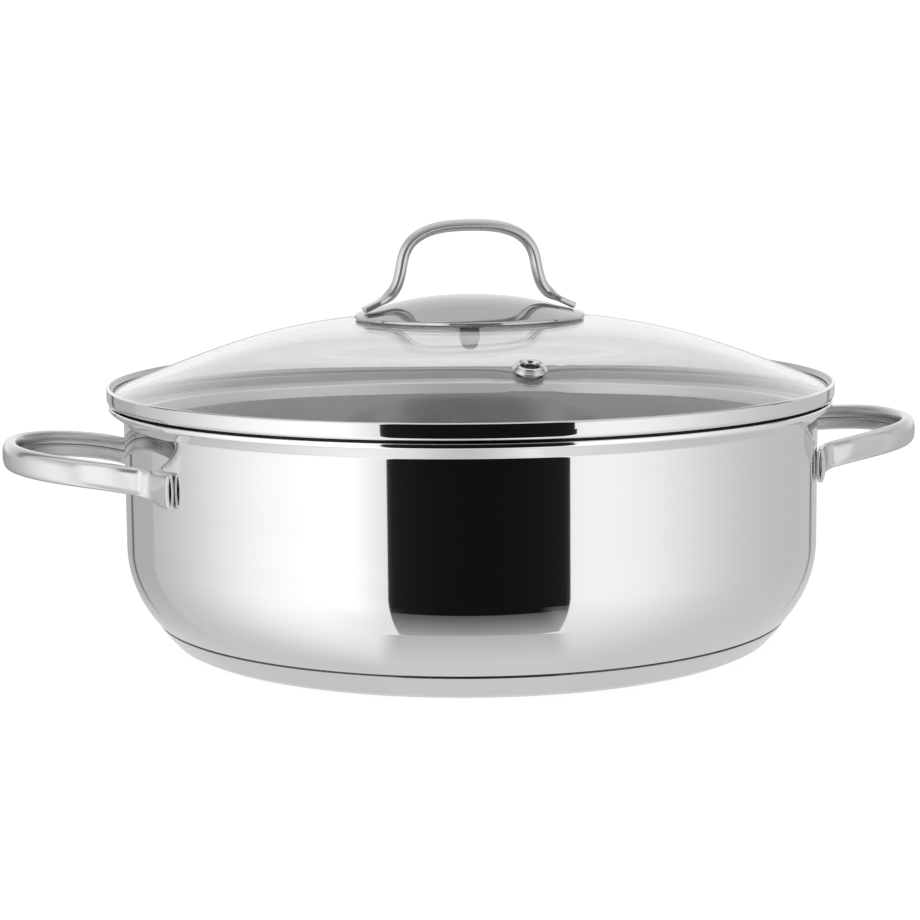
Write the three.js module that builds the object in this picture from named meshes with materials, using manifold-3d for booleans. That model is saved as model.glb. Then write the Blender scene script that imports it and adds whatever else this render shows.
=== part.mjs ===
// Low stainless casserole pot, 28 cm inside, with a domed glass lid.
// Millimetres, +Z up. The origin is on the pot's axis, on the underside of the base.
// The side handles lie along +X and -X, and the lid's steam vent points to -Y.
import * as THREE from 'three';
import { mergeVertices } from 'three/addons/utils/BufferGeometryUtils.js';
import Module from 'manifold-3d';

// ---------------------------------------------------------------- dimensions
const SEG = 48;                 // facets round the large turned pieces
const SEG_S = 20;               // facets round the small turned pieces

// pot body
const WALL_R = 141.0;           // outside radius of the straight wall
const SHEET = 0.8;              // wall sheet
const FLOOR_Z = 6.2;            // underside of the body's flat floor
const ARC_R = 44.7;             // outside radius of the curve from wall to floor
const ARC_Z = 40.4;             // height where that curve starts
const FLANGE_Z = 91.3;          // height where the wall bends out to the pouring rim

// sandwich base
const CAPSULE_SHEET = 0.6;
const CAPSULE_TOP_Z = 9.9;      // upper edge of the base cap
const CORE_R = 118.0;
const CORE_Z = [0.9, 5.9];

// side handles
const LOOP_X = 185.6;           // centre line of the loop's end
const LOOP_START = [137.4, 44.6];
const LOOP_N = 2.3;             // fullness of the loop's outline
const GRIP_T = 8.0;             // thickness of the tube
const GRIP_H = 11.6;            // height of the tube
const GRIP_SHEET = 1.2;
const GRIP_SLIT = 0.5;          // open seam along the inside of the tube
const FOOT_T = 3.0;             // thickness where the tube is pressed flat
const FOOT_H = 12.6;
const FOOT_ANGLE = 25.2;        // where the foot ends, from the X axis
const FOOT_Z = 73.0;            // height of the feet
const LOOP_Z = 80.8;            // height of the loop's end
const GAP = 0.3;                // clearance between pieces that touch

// lid
const GLASS_T = 3.7;
const GLASS_HOLE_R = 4.2;
const VENT_Y = -103.0;          // vent centre
const VENT_TILT = 18.6;         // slope of the glass there, degrees
const VENT_Z = 118.35;          // top of the glass there
const VENT_HOLE_R = 5.0;
const PLATE_R = 46.9;           // disc under the lid's handle
const PLATE_SHEET = 0.8;
const BAR_D = 4.8;              // lid handle bar
const BAR_FOOT_T = 2.4;
const BAR_FOOT_W = 7.4;

// ------------------------------------------------------------------- helpers
const wasm = await Module();
wasm.setup();

const v2 = (r, z) => new THREE.Vector2(r, z);

function clean(geometry) {
  const g = geometry.index ? geometry : geometry.clone();
  g.deleteAttribute('normal');
  g.deleteAttribute('uv');
  const m = mergeVertices(g, 1e-4);
  const p = m.attributes.position;
  const ix = Array.from(m.index.array);
  const keep = [];
  let volume = 0;
  const a = new THREE.Vector3(), b = new THREE.Vector3(), c = new THREE.Vector3();
  for (let i = 0; i < ix.length; i += 3) {
    if (ix[i] === ix[i + 1] || ix[i + 1] === ix[i + 2] || ix[i] === ix[i + 2]) continue;
    a.fromBufferAttribute(p, ix[i]);
    b.fromBufferAttribute(p, ix[i + 1]);
    c.fromBufferAttribute(p, ix[i + 2]);
    volume += a.dot(b.clone().cross(c));
    keep.push(ix[i], ix[i + 1], ix[i + 2]);
  }
  if (volume < 0) {
    for (let i = 0; i < keep.length; i += 3) [keep[i], keep[i + 1]] = [keep[i + 1], keep[i]];
  }
  m.setIndex(keep);
  return m;
}

// Turned piece: points are [radius, height], from the axis to the axis or round a closed loop.
function turned(points, segments = SEG) {
  const pts = points.map(([r, z]) => v2(r, z));
  const g = new THREE.LatheGeometry(pts, segments);
  g.rotateX(Math.PI / 2);
  return clean(g);
}
const ring = (points, segments = SEG) => turned([...points, points[0]], segments);

function solid(geometry) {
  return new wasm.Manifold(new wasm.Mesh({
    numProp: 3,
    vertProperties: new Float32Array(geometry.attributes.position.array),
    triVerts: new Uint32Array(geometry.index.array),
  }));
}

function fromSolid(s) {
  const m = s.getMesh();
  const g = new THREE.BufferGeometry();
  g.setAttribute('position', new THREE.BufferAttribute(new Float32Array(m.vertProperties), 3));
  g.setIndex(Array.from(m.triVerts));
  return g;
}

// Section swept along a path: the straight prism's vertices are placed one by one.
function swept(shape, steps, curveSegments, place) {
  const g = new THREE.ExtrudeGeometry(shape, { depth: 1, steps, bevelEnabled: false, curveSegments });
  const p = g.attributes.position;
  for (let i = 0; i < p.count; i++) {
    const q = place(p.getX(i), p.getY(i), p.getZ(i));
    p.setXYZ(i, q.x, q.y, q.z);
  }
  return clean(g);
}

const steel = (roughness, color = 0xc9cacc) => new THREE.MeshStandardMaterial({ color, roughness, metalness: 1 });
const polished = steel(0.08);
const satin = steel(0.32, 0xb4b6b8);
const aluminium = new THREE.MeshStandardMaterial({ color: 0xb9bcc0, roughness: 0.5, metalness: 1 });
const silicone = new THREE.MeshStandardMaterial({ color: 0xd8d9d6, roughness: 0.6, metalness: 0 });
const glass = new THREE.MeshStandardMaterial({
  color: 0xdfe8e4, roughness: 0.03, metalness: 0, transparent: true, opacity: 0.35,
});

function mesh(name, geometry, material) {
  const m = new THREE.Mesh(geometry, material);
  m.name = name;
  return m;
}

const casserole = new THREE.Group();
const pot = new THREE.Group();
const lid = new THREE.Group();
casserole.add(pot, lid);

// ------------------------------------------------------------------ pot body
const arcPoint = (radius, deg) => {
  const t = THREE.MathUtils.degToRad(deg);
  return [WALL_R - ARC_R + radius * Math.cos(t), ARC_Z - radius * Math.sin(t)];
};
const ARC_DEGS = [47.5, 38, 28.5, 19, 9.5, 0];
pot.add(mesh('pot_body', turned([
  [0, FLOOR_Z], [121.5, FLOOR_Z], [124.6, FLOOR_Z + 0.4],
  ...ARC_DEGS.map((d) => arcPoint(ARC_R, d)),
  // conical rim with its edge turned up
  [WALL_R, FLANGE_Z], [141.41, 92.11], [146.33, 95.68], [146.82, 96.3], [146.9, 97.4], [146.5, 97.8],
  [146.1, 97.4], [146.04, 96.6], [145.86, 96.33], [140.94, 92.76], [WALL_R - SHEET, FLANGE_Z],
  ...ARC_DEGS.slice().reverse().map((d) => arcPoint(ARC_R - SHEET, d)),
  [124.3, FLOOR_Z + SHEET + 0.4], [121.4, FLOOR_Z + SHEET], [0, FLOOR_Z + SHEET],
]), polished));

// --------------------------------------------------------------------- base
pot.add(mesh('base_core_disc', turned([
  [0, CORE_Z[0]], [CORE_R - 1, CORE_Z[0]], [CORE_R, CORE_Z[0] + 1],
  [CORE_R, CORE_Z[1] - 1], [CORE_R - 1, CORE_Z[1]], [0, CORE_Z[1]],
]), aluminium));

pot.add(mesh('base_capsule', turned([
  [0, 0], [118.8, 0], [120.9, 0.45], [122.5, 1.7],
  [126.0, 5.6], [128.7, 8.4], [129.9, CAPSULE_TOP_Z - 0.25], [129.75, CAPSULE_TOP_Z],
  [129.45, CAPSULE_TOP_Z - 0.1], [128.2, 8.7], [125.5, 6.0], [121.9, 2.0],
  [120.6, 0.95], [118.7, CAPSULE_SHEET], [0, CAPSULE_SHEET],
]), polished));

// -------------------------------------------------------------- side handles
// Centre line in plan, from one foot round the loop to the other foot.
function gripPath() {
  const pts = [];
  const footR = WALL_R + GAP + FOOT_T / 2;
  for (const deg of [FOOT_ANGLE, 23.6, 22, 20.4]) {
    const t = THREE.MathUtils.degToRad(deg);
    pts.push([footR * Math.cos(t), footR * Math.sin(t)]);
  }
  pts.push([135.9, 46.0], [137.6, 44.85], [140.2, 44.45]);
  for (const deg of [14, 24, 34, 44, 54, 64, 74, 82, 90]) {
    const t = THREE.MathUtils.degToRad(deg);
    pts.push([
      LOOP_START[0] + (LOOP_X - LOOP_START[0]) * Math.sin(t) ** (2 / LOOP_N),
      LOOP_START[1] * Math.max(0, Math.cos(t)) ** (2 / LOOP_N),
    ]);
  }
  pts[pts.length - 1][1] = 0;
  const back = pts.slice(0, -1).reverse().map(([x, y]) => [x, -y]);
  return [...pts, ...back].map(([x, y]) => {
    const u = THREE.MathUtils.clamp((x - 136) / (LOOP_X - 136), 0, 1);
    const rise = u * (1.42 - 0.42 * u);
    return new THREE.Vector3(x, y, FOOT_Z + (LOOP_Z - FOOT_Z) * rise);
  });
}

// C-shaped section of a folded sheet tube whose edges meet along the inner face. It is drawn
// as a split ring: radius 1 is the outer skin, radius 0.5 the inner one.
const GRIP_SIDES = 12;
const SPLIT = Math.PI * (1 - 1 / GRIP_SIDES);
function gripSection() {
  const pts = [];
  for (let i = 0; i <= GRIP_SIDES; i++) pts.push([1, SPLIT * (2 * i / GRIP_SIDES - 1)]);
  for (let i = GRIP_SIDES; i >= 0; i--) pts.push([0.5, SPLIT * (2 * i / GRIP_SIDES - 1)]);
  const s = new THREE.Shape();
  pts.forEach(([r, t], i) => {
    const x = r * Math.cos(t), y = r * Math.sin(t);
    if (i) s.lineTo(x, y); else s.moveTo(x, y);
  });
  return s;
}

function gripGeometry() {
  const path = gripPath();
  const n = path.length - 1;
  const length = [0];
  for (let i = 1; i <= n; i++) length.push(length[i - 1] + path[i].distanceTo(path[i - 1]));
  const total = length[n];
  const frames = path.map((p, i) => {
    const d = path[Math.min(n, i + 1)].clone().sub(path[Math.max(0, i - 1)]).normalize();
    const side = new THREE.Vector3(-d.y, d.x, 0).normalize();   // towards the outer face
    const up = d.clone().cross(side).normalize();
    const s = Math.min(length[i], total - length[i]);
    const k = THREE.MathUtils.smoothstep(s, 13, 46);
    return { p, side, up, t: FOOT_T + (GRIP_T - FOOT_T) * k, h: FOOT_H + (GRIP_H - FOOT_H) * k };
  });
  const power = (c) => Math.sign(c) * Math.abs(c) ** (2 / 2.4);
  return swept(gripSection(), n, 1, (x, y, t) => {
    const f = frames[Math.round(t * n)];
    const inset = Math.hypot(x, y) < 0.75 ? GRIP_SHEET : 0;
    const angle = Math.atan2(y, x);
    let u = power(Math.cos(angle)) * (f.t / 2 - inset);
    let w = power(Math.sin(angle)) * (f.h / 2 - inset);
    if (Math.abs(angle) > SPLIT - 1e-3) {
      u = -(f.t / 2 - inset);
      w = Math.sign(y) * GRIP_SLIT / 2;
    }
    const q = f.p.clone().addScaledVector(f.side, u).addScaledVector(f.up, w);
    const radial = Math.hypot(q.x, q.y);
    const least = WALL_R + GAP + inset;
    if (radial < least) { q.x *= least / radial; q.y *= least / radial; }
    return q;
  });
}

const gripRight = gripGeometry();
const gripLeft = gripRight.clone();
gripLeft.rotateZ(Math.PI);
pot.add(mesh('side_handle_right', gripRight, polished));
pot.add(mesh('side_handle_left', gripLeft, polished));

// ---------------------------------------------------------------- lid: glass
// Top of the glass, from the middle to the rim.
const GLASS_TOP = [
  [GLASS_HOLE_R, 132.0], [24, 131.45], [47, 129.85], [62, 128.2], [76, 125.8], [90, 122.45],
  [104, 118.1], [118, 113.1], [131, 108.15], [139.5, 104.95], [145.4, 102.75],
];
const glassBottom = GLASS_TOP.map(([r, z], i) => {
  const a = GLASS_TOP[Math.max(0, i - 1)], b = GLASS_TOP[Math.min(GLASS_TOP.length - 1, i + 1)];
  const d = Math.hypot(b[0] - a[0], b[1] - a[1]);
  const nr = -(b[1] - a[1]) / d, nz = (b[0] - a[0]) / d;
  const t = GLASS_T - 0.5 * THREE.MathUtils.smoothstep(r, 120, 143);   // ground thinner at the rim
  return i === 0 ? [r, z - t] : [r - nr * t, z - nz * t];
});
glassBottom[glassBottom.length - 1] = [145.4, 99.75];
const glassBlank = ring([...GLASS_TOP, [146.3, 101.9], [146.3, 100.5], ...glassBottom.reverse()]);

function atVent(geometry) {
  geometry.rotateX(THREE.MathUtils.degToRad(VENT_TILT));
  geometry.translate(0, VENT_Y, VENT_Z);
  return geometry;
}
const ventDrill = new THREE.CylinderGeometry(VENT_HOLE_R, VENT_HOLE_R, 30, SEG_S);
ventDrill.rotateX(Math.PI / 2);
const drilled = solid(glassBlank).subtract(solid(clean(atVent(ventDrill))));
lid.add(mesh('lid_glass', fromSolid(drilled), glass));

// ------------------------------------------------------------- lid: rim band
lid.add(mesh('lid_rim_band', ring([
  // funnel skirt that drops into the pot, and riser over the pot's rim
  [138.65, 86.0], [139.5, 91.8], [141.85, 94.2], [141.95, 98.2], [142.5, 98.6],
  // roll round the edge of the glass, thin lip on top
  [146.1, 98.6], [147.1, 99.3], [147.6, 100.7], [147.6, 104.3], [147.35, 105.0], [146.8, 105.25], [146.1, 104.8],
  [144.9, 103.65], [145.0, 103.35], [146.6, 103.0], [146.95, 101.9], [146.9, 100.2], [146.4, 99.3],
  [141.7, 99.2], [141.35, 98.8], [141.25, 94.5], [138.9, 92.1], [138.05, 86.2],
]), polished));

// ------------------------------------------------------------------ lid: vent
// Local frame: z = 0 on the glass, z along the hole.
lid.add(mesh('vent_eyelet', atVent(ring([
  [3.4, 2.3], [3.9, 2.85], [4.7, 2.95], [5.3, 2.6], [5.5, 1.95], [5.9, 1.75], [6.35, 1.3], [6.4, 0.6], [6.1, GAP],
  [4.3, GAP], [4.2, -0.2], [4.2, -GLASS_T - 1.9], [3.4, -GLASS_T - 1.9],
], SEG_S)), polished));
lid.add(mesh('vent_sleeve', atVent(ring([
  [4.5, -0.1], [4.75, -0.1], [4.75, -GLASS_T - GAP], [6.4, -GLASS_T - GAP], [6.4, -GLASS_T - 1.1], [4.5, -GLASS_T - 1.1],
], SEG_S)), silicone));
lid.add(mesh('vent_ring', atVent(ring([
  [4.5, -GLASS_T - 1.4], [6.0, -GLASS_T - 1.4], [6.2, -GLASS_T - 1.8], [5.7, -GLASS_T - 2.3], [4.6, -GLASS_T - 2.3], [4.5, -GLASS_T - 2.2],
], SEG_S)), satin));

// --------------------------------------------------------- lid: handle plate
const PLATE_TOP = [[0, 139.4], [12, 138.99], [24, 137.51], [35, 135.02], [45, 132.29]];
lid.add(mesh('lid_handle_plate', turned([
  ...PLATE_TOP,
  [46.55, 131.85], [PLATE_R, 131.3], [PLATE_R, 130.5], [46.4, 130.2], [45.9, 130.5], [45.2, 131.4],
  ...PLATE_TOP.slice(0, 4).reverse().map(([r, z]) => [r, z - PLATE_SHEET]),
], 44), polished));

// ----------------------------------------------------------- lid: handle bar
const barHalf = [
  [43.6, 134.3], [41.5, 135.25], [39.5, 136.2], [37.5, 137.15], [35.8, 138.05], [34.0, 139.2], [32.3, 140.7], [31.0, 142.4], [30.05, 144.2],
  [29.2, 146.6], [28.5, 149.4], [27.95, 152.2], [27.35, 155.0], [26.2, 158.1], [23.8, 161.5], [20.2, 164.2], [15.4, 166.2], [9.6, 167.35],
  [4.6, 167.7], [0, 167.8],
];
const barPath = [...barHalf.map(([x, z]) => new THREE.Vector3(-x, 0, z)),
  ...barHalf.slice(0, -1).reverse().map(([x, z]) => new THREE.Vector3(x, 0, z))];
function barGeometry() {
  const n = barPath.length - 1;
  const circle = new THREE.Shape();
  circle.absarc(0, 0, 1, 0, 2 * Math.PI, false);
  return swept(circle, n, 6, (x, y, t) => {
    const i = Math.round(t * n);
    const d = barPath[Math.min(n, i + 1)].clone().sub(barPath[Math.max(0, i - 1)]).normalize();
    const up = new THREE.Vector3(-d.z, 0, d.x);
    const e = Math.min(i, n - i);                       // stations from the cut end
    const k = THREE.MathUtils.smoothstep(e, 2.2, 6);    // 0 pressed flat, 1 round
    const flatY = Math.sign(y) * Math.abs(y) ** 0.45, flatX = Math.sign(x) * Math.abs(x) ** 0.45;
    const w = THREE.MathUtils.lerp(flatX * BAR_FOOT_W / 2, x * BAR_D / 2, k);
    const h = THREE.MathUtils.lerp(flatY * BAR_FOOT_T / 2, y * BAR_D / 2, k);
    return barPath[i].clone().addScaledVector(up, h).add(new THREE.Vector3(0, w, 0));
  });
}
lid.add(mesh('lid_handle_bar', barGeometry(), polished));

// -------------------------------------------- lid: fixing through the glass
// Threaded boss under the plate, seals on both sides of the glass, and a domed nut below.
lid.add(mesh('handle_boss', turned([
  [0, 133.6], [6.6, 133.6], [7.0, 134.0], [7.0, 136.2], [5.2, 137.6], [0, 137.7],
], SEG_S), satin));
lid.add(mesh('seal_upper', ring([
  [3.2, 132.3], [3.2, 133.3], [9.4, 133.3], [9.8, 132.9], [9.8, 132.3],
], SEG_S), silicone));
lid.add(mesh('seal_lower', ring([
  [2.9, 131.6], [3.9, 131.6], [3.9, 128.0], [6.6, 128.0], [6.6, 127.1], [2.9, 127.1],
], SEG_S), silicone));
lid.add(mesh('fixing_washer', ring([
  [2.9, 126.8], [6.0, 126.8], [6.2, 126.5], [6.0, 126.1], [2.9, 126.1],
], SEG_S), satin));
lid.add(mesh('fixing_nut', turned([
  [0, 133.3], [2.5, 133.3], [2.6, 133.1], [2.6, 125.8], [4.3, 125.8], [4.2, 125.0], [3.5, 121.8], [3.0, 119.6],
  [2.3, 118.4], [1.2, 117.8], [0, 117.7],
], SEG_S), polished));

export default casserole;
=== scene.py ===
# Low stainless casserole pot with a domed glass lid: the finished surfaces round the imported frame.
# Shapes are written in millimetres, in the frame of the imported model, and made in metres.
import math

import bpy
import numpy as np
from mathutils import Matrix, Vector
from mathutils.geometry import delaunay_2d_cdt


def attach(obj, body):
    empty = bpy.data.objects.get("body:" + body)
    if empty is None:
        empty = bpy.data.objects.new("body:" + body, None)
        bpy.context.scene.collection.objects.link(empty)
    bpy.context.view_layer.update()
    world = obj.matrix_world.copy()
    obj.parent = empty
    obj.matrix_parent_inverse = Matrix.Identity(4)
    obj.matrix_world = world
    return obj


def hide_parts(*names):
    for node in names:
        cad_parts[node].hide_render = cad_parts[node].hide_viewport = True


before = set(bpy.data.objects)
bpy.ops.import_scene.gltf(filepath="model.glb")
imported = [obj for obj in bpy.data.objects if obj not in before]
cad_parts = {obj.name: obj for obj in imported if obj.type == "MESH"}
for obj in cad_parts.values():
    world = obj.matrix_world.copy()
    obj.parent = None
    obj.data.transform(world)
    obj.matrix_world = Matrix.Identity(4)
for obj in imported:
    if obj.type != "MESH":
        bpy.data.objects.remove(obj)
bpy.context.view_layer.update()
scene = bpy.context.scene
MM = 0.001
TURN = 12.3          # the pot is turned this far round its axis, as seen from the camera


# ------------------------------------------------------------------ profiles
def arc(cx, cz, r, a0, a1, step=5.0):
    n = max(2, int(math.ceil(abs(a1 - a0) / step)))
    out = []
    for i in range(n + 1):
        t = math.radians(a0 + (a1 - a0) * i / n)
        out.append((cx + r * math.cos(t), cz + r * math.sin(t)))
    return out


def rounded(points, closed=False, step=12.0):
    """Corners given as (r, z, radius) are rounded; points without a radius are kept."""
    out, n = [], len(points)
    for i, p in enumerate(points):
        f = p[2] if len(p) > 2 else 0.0
        ends = not closed and i in (0, n - 1)
        if f <= 0 or ends:
            out.append((p[0], p[1]))
            continue
        a, b, c = (np.array(points[j % n][:2], float) for j in (i - 1, i, i + 1))
        u, v = a - b, c - b
        lu, lv = np.linalg.norm(u), np.linalg.norm(v)
        u, v = u / lu, v / lv
        half = math.acos(max(-1.0, min(1.0, float(u @ v)))) / 2
        if half > math.radians(89.5):
            out.append((p[0], p[1]))
            continue
        t = min(f / math.tan(half), 0.47 * lu, 0.47 * lv)
        f = t * math.tan(half)
        m = (u + v) / np.linalg.norm(u + v)
        centre = b + m * f / math.sin(half)
        s, e = b + u * t - centre, b + v * t - centre
        a0, a1 = math.atan2(s[1], s[0]), math.atan2(e[1], e[0])
        d = (a1 - a0 + math.pi) % (2 * math.pi) - math.pi
        k = max(2, int(math.ceil(abs(math.degrees(d)) / step)))
        for j in range(k + 1):
            w = a0 + d * j / k
            out.append((centre[0] + f * math.cos(w), centre[1] + f * math.sin(w)))
    return out


def cubic(points, s=None, count=None):
    """Natural cubic through the points, by chord length. Returns (points, lengths)."""
    P = np.array(points, float)
    d = np.r_[0, np.cumsum(np.linalg.norm(np.diff(P, axis=0), axis=1))]
    n, h = len(d), np.diff(d)
    A, B = np.zeros((n, n)), np.zeros_like(P)
    A[0, 0] = A[-1, -1] = 1
    for i in range(1, n - 1):
        A[i, i - 1], A[i, i], A[i, i + 1] = h[i - 1], 2 * (h[i - 1] + h[i]), h[i]
        B[i] = 6 * ((P[i + 1] - P[i]) / h[i] - (P[i] - P[i - 1]) / h[i - 1])
    M = np.linalg.solve(A, B)
    if s is None:
        s = np.linspace(0, d[-1], count)
    k = np.clip(np.searchsorted(d, s, side="right") - 1, 0, n - 2)
    a, b = (d[k + 1] - s)[:, None], (s - d[k])[:, None]
    H = h[k][:, None]
    out = (M[k] * a ** 3 + M[k + 1] * b ** 3) / (6 * H) + (P[k] / H - M[k] * H / 6) * a + (P[k + 1] / H - M[k + 1] * H / 6) * b
    return out, s


def support(points, closed=False, edge=0.35, long=1.6, step=9.0):
    """Adds points close to the ends of long straight runs, so that smooth shading stays true on them."""
    out, n = [], len(points)
    for i in range(n if closed else n - 1):
        a, b = np.array(points[i], float), np.array(points[(i + 1) % n], float)
        L = np.linalg.norm(b - a)
        out.append(tuple(a))
        if L > long:
            e = min(edge, L / 4)
            k = max(1, int(round((L - 2 * e) / step)))
            for j in range(k + 1):
                out.append(tuple(a + (b - a) * (e + (L - 2 * e) * j / k) / L))
    if not closed:
        out.append(tuple(points[-1]))
    return out


# -------------------------------------------------------------------- meshes
def make(name, verts, faces, materials, face_slots=None):
    me = bpy.data.meshes.new(name)
    me.from_pydata([tuple(v) for v in np.asarray(verts, float) * MM], [], faces)
    me.update()
    co = np.array([v.co for v in me.vertices], float).reshape(-1, 3)
    me.calc_loop_triangles()
    tri = np.array([t.vertices for t in me.loop_triangles], int)
    a, b, c = co[tri[:, 0]], co[tri[:, 1]], co[tri[:, 2]]
    if np.einsum("ij,ij->i", a, np.cross(b, c)).sum() < 0:
        me.flip_normals()
    me.polygons.foreach_set("use_smooth", [True] * len(me.polygons))
    for m in materials:
        me.materials.append(m)
    if face_slots is not None:
        me.polygons.foreach_set("material_index", [int(x) for x in face_slots])
    me.update()
    ob = bpy.data.objects.new(name, me)
    scene.collection.objects.link(ob)
    return ob


def lathe(name, profile, materials, segments=256, closed=False, slot_of=None, place=None):
    verts, rows, faces, slots = [], [], [], []
    for r, z in profile:
        if r < 1e-6:
            rows.append([len(verts)])
            verts.append((0.0, 0.0, z))
        else:
            rows.append(list(range(len(verts), len(verts) + segments)))
            for j in range(segments):
                t = 2 * math.pi * j / segments
                verts.append((r * math.cos(t), r * math.sin(t), z))
    n = len(profile)
    for i in range(n if closed else n - 1):
        p, q = rows[i], rows[(i + 1) % n]
        s = slot_of(profile[i], profile[(i + 1) % n]) if slot_of else 0
        for j in range(segments):
            k = (j + 1) % segments
            if len(p) == 1 and len(q) == 1:
                continue
            if len(p) == 1:
                faces.append((p[0], q[k], q[j]))
            elif len(q) == 1:
                faces.append((p[j], p[k], q[0]))
            else:
                faces.append((p[j], p[k], q[k], q[j]))
            slots.append(s)
    V = np.array(verts, float)
    if place is not None:
        V = place(V)
    return make(name, V, faces, materials, slots)


def skin(name, rings, materials, run=None, girth=None, slot_grid=None):
    """Closed tube through rings of equal count, shut at both ends by a fan to the middle."""
    R = np.array(rings, float)
    nu, nv = R.shape[:2]
    verts = np.concatenate([R.reshape(-1, 3), R[0].mean(0)[None], R[-1].mean(0)[None]])
    faces, slots = [], []
    for i in range(nu - 1):
        for j in range(nv):
            k = (j + 1) % nv
            faces.append((i * nv + j, i * nv + k, (i + 1) * nv + k, (i + 1) * nv + j))
            slots.append(0 if slot_grid is None else slot_grid[i][j])
    first, last = slots[0], slots[-1]
    for j in range(nv):
        k = (j + 1) % nv
        faces.append((nu * nv, k, j))
        faces.append((nu * nv + 1, (nu - 1) * nv + j, (nu - 1) * nv + k))
        slots += [first, last]
    ob = make(name, verts, faces, materials, slots)
    for key, values in (("run", run), ("girth", girth)):
        if values is not None:
            v = np.concatenate([np.asarray(values, np.float32).reshape(-1), np.zeros(2, np.float32)])
            at = ob.data.attributes.new(key, "FLOAT", "POINT")
            at.data.foreach_set("value", v)
    return ob


# ----------------------------------------------------------------- materials
class Net:
    def __init__(self, tree):
        self.tree = tree
        tree.nodes.clear()

    def node(self, kind, **settings):
        n = self.tree.nodes.new(kind)
        for k, v in settings.items():
            setattr(n, k, v)
        return n

    def put(self, socket, value):
        if isinstance(value, bpy.types.NodeSocket):
            self.tree.links.new(value, socket)
        else:
            socket.default_value = value

    def math(self, op, a, b=None, c=None):
        n = self.node("ShaderNodeMath", operation=op)
        for s, v in zip(n.inputs, (a, b, c)):
            if v is not None:
                self.put(s, v)
        return n.outputs[0]

    def add(self, a, b):
        return self.math("ADD", a, b)

    def sub(self, a, b):
        return self.math("SUBTRACT", a, b)

    def mul(self, a, b):
        return self.math("MULTIPLY", a, b)

    def ramp(self, value, low, high, to_low=0.0, to_high=1.0, smooth=True):
        n = self.node("ShaderNodeMapRange", interpolation_type="SMOOTHSTEP" if smooth else "LINEAR")
        for key, v in (("Value", value), ("From Min", low), ("From Max", high), ("To Min", to_low), ("To Max", to_high)):
            self.put(n.inputs[key], v)
        return n.outputs["Result"]

    def noise(self, vector, scale, detail=2.0, roughness=0.5, w=None):
        n = self.node("ShaderNodeTexNoise", noise_dimensions="3D" if w is None else "4D")
        self.put(n.inputs["Vector"], vector)
        if w is not None:
            self.put(n.inputs["W"], w)
        n.inputs["Scale"].default_value = scale
        n.inputs["Detail"].default_value = detail
        n.inputs["Roughness"].default_value = roughness
        return n.outputs["Fac"]

    def vector(self, x, y, z):
        n = self.node("ShaderNodeCombineXYZ")
        for s, v in zip(n.inputs, (x, y, z)):
            self.put(s, v)
        return n.outputs[0]

    def tint(self, fac, a, b):
        n = self.node("ShaderNodeMix", data_type="RGBA")
        self.put(n.inputs[0], fac)
        n.inputs[6].default_value = (*a, 1.0)
        n.inputs[7].default_value = (*b, 1.0)
        return n.outputs[2]

    def bump(self, height, distance, strength=1.0, normal=None):
        n = self.node("ShaderNodeBump")
        n.inputs["Strength"].default_value = strength
        n.inputs["Distance"].default_value = distance
        self.put(n.inputs["Height"], height)
        if normal is not None:
            self.put(n.inputs["Normal"], normal)
        return n.outputs[0]


def grain_turned(net):
    """Value that runs in fine circles round the Z axis, and the object position."""
    pos = net.node("ShaderNodeTexCoord").outputs["Object"]
    s = net.node("ShaderNodeSeparateXYZ")
    net.put(s.inputs[0], pos)
    x, y, z = s.outputs
    r = net.math("SQRT", net.add(net.mul(x, x), net.mul(y, y)))
    rr = net.math("MAXIMUM", r, 1e-5)
    cx, cy = net.math("DIVIDE", x, rr), net.math("DIVIDE", y, rr)
    return cx, cy, r, z, pos


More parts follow.
